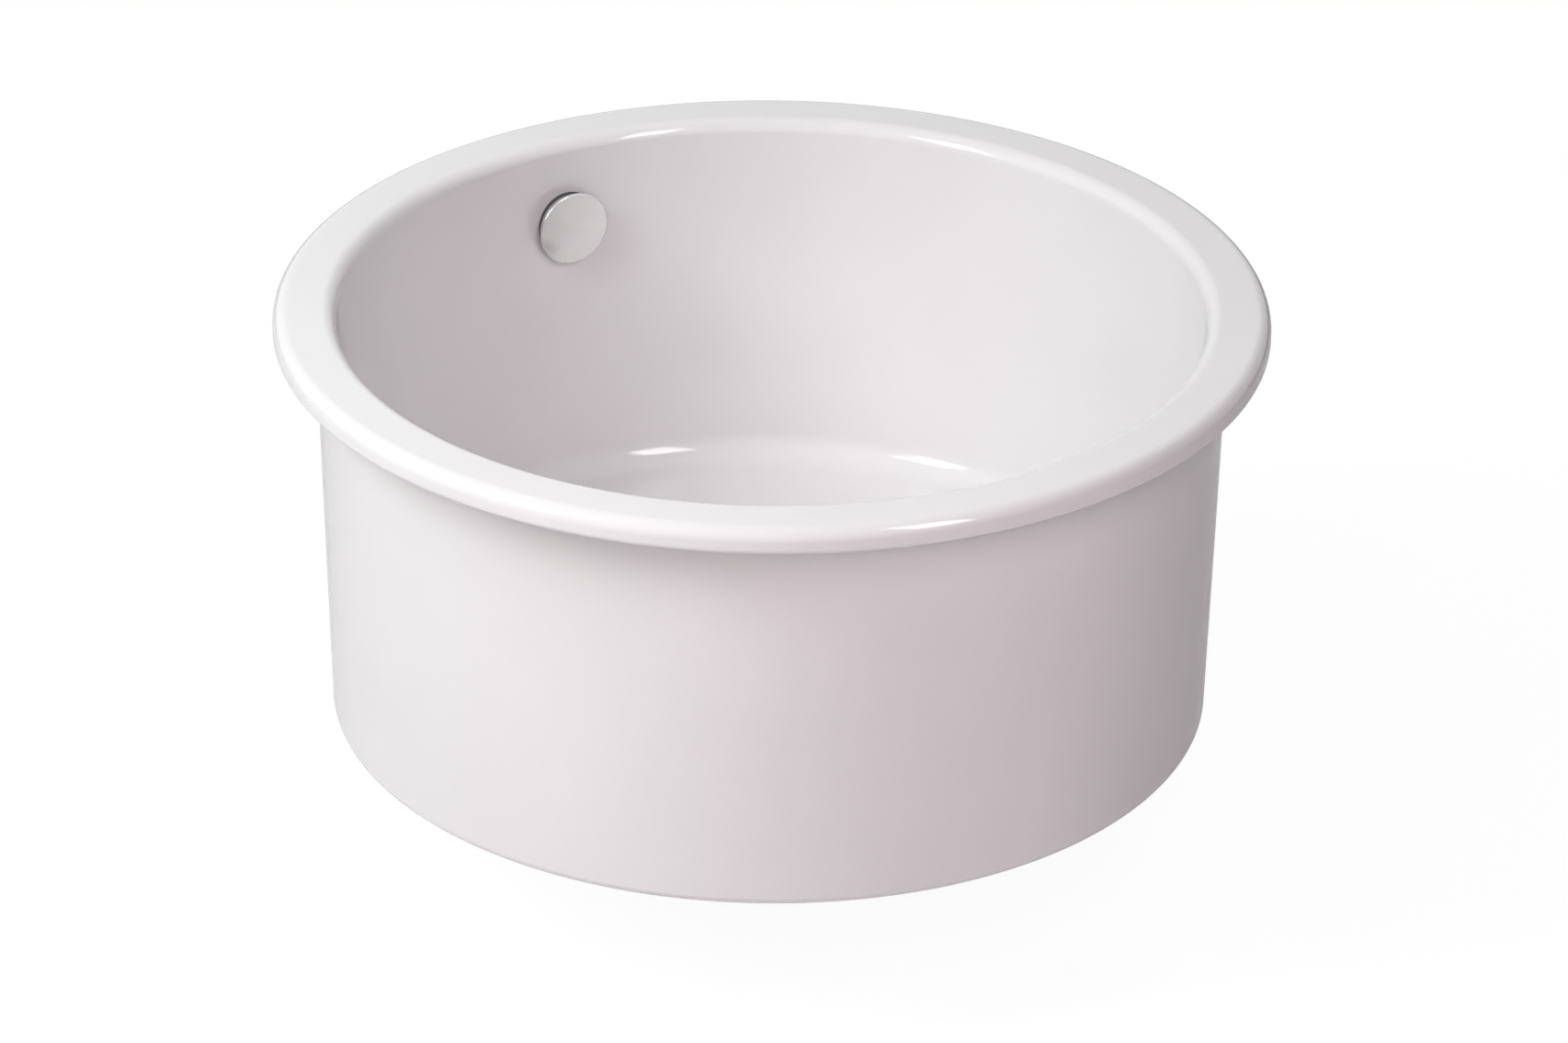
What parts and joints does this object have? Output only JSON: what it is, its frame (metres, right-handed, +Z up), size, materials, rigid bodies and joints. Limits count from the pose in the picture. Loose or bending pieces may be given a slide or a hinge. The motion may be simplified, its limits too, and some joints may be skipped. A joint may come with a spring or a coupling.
{
  "type": "undermount kitchen sink",
  "caption": "Round glazed ceramic undermount kitchen sink with a flat rim, chrome overflow cap, rigid overflow pipe and a basket strainer waste whose basket lifts out.",
  "frame": {"origin": "centre of the rim's flat top, the face that meets the underside of the worktop", "axes": "+Z up out of the bowl, -Y towards the user, overflow in the wall 30 degrees from +Y towards -X"},
  "size_m": [0.46, 0.4599, 0.2821],
  "materials": {
    "white_glaze": "smooth gloss glaze",
    "chrome": "polished",
    "stainless_steel": "satin",
    "white_plastic": "moulded",
    "grey_plastic": "moulded",
    "black_rubber": "matt",
    "brass": "turned"
  },
  "bodies": {
    "sink": {"bowl": "white_glaze", "overflow_cap": "chrome", "overflow_stud": "stainless_steel", "overflow_carrier": "grey_plastic", "overflow_front_seal": "black_rubber", "overflow_back_seal": "black_rubber", "overflow_elbow": "white_plastic", "elbow_insert": "brass", "upper_pipe": "white_plastic", "upper_pipe_nut": "white_plastic", "upper_pipe_seal": "black_rubber", "pipe_coupling_nut": "white_plastic", "pipe_coupling_seal": "black_rubber", "lower_pipe": "white_plastic", "lower_pipe_nut": "white_plastic", "lower_pipe_seal": "black_rubber", "flange_seal": "black_rubber", "strainer_cup": "stainless_steel", "base_gasket": "black_rubber", "waste_body": "white_plastic", "waste_insert": "brass", "bolt_washer": "stainless_steel", "centre_bolt": "stainless_steel"},
    "basket": {"basket_cup": "stainless_steel", "basket_knob": "chrome", "basket_stem": "stainless_steel", "basket_stopper": "black_rubber", "stopper_washer": "stainless_steel", "stem_nut": "brass", "stem_clip": "stainless_steel"}
  },
  "joints": [
    {"name": "basket_lift", "type": "slide", "parent": "sink", "child": "basket", "axis": [0, 0, 1], "range_m": [0, 0.235]}
  ]
}
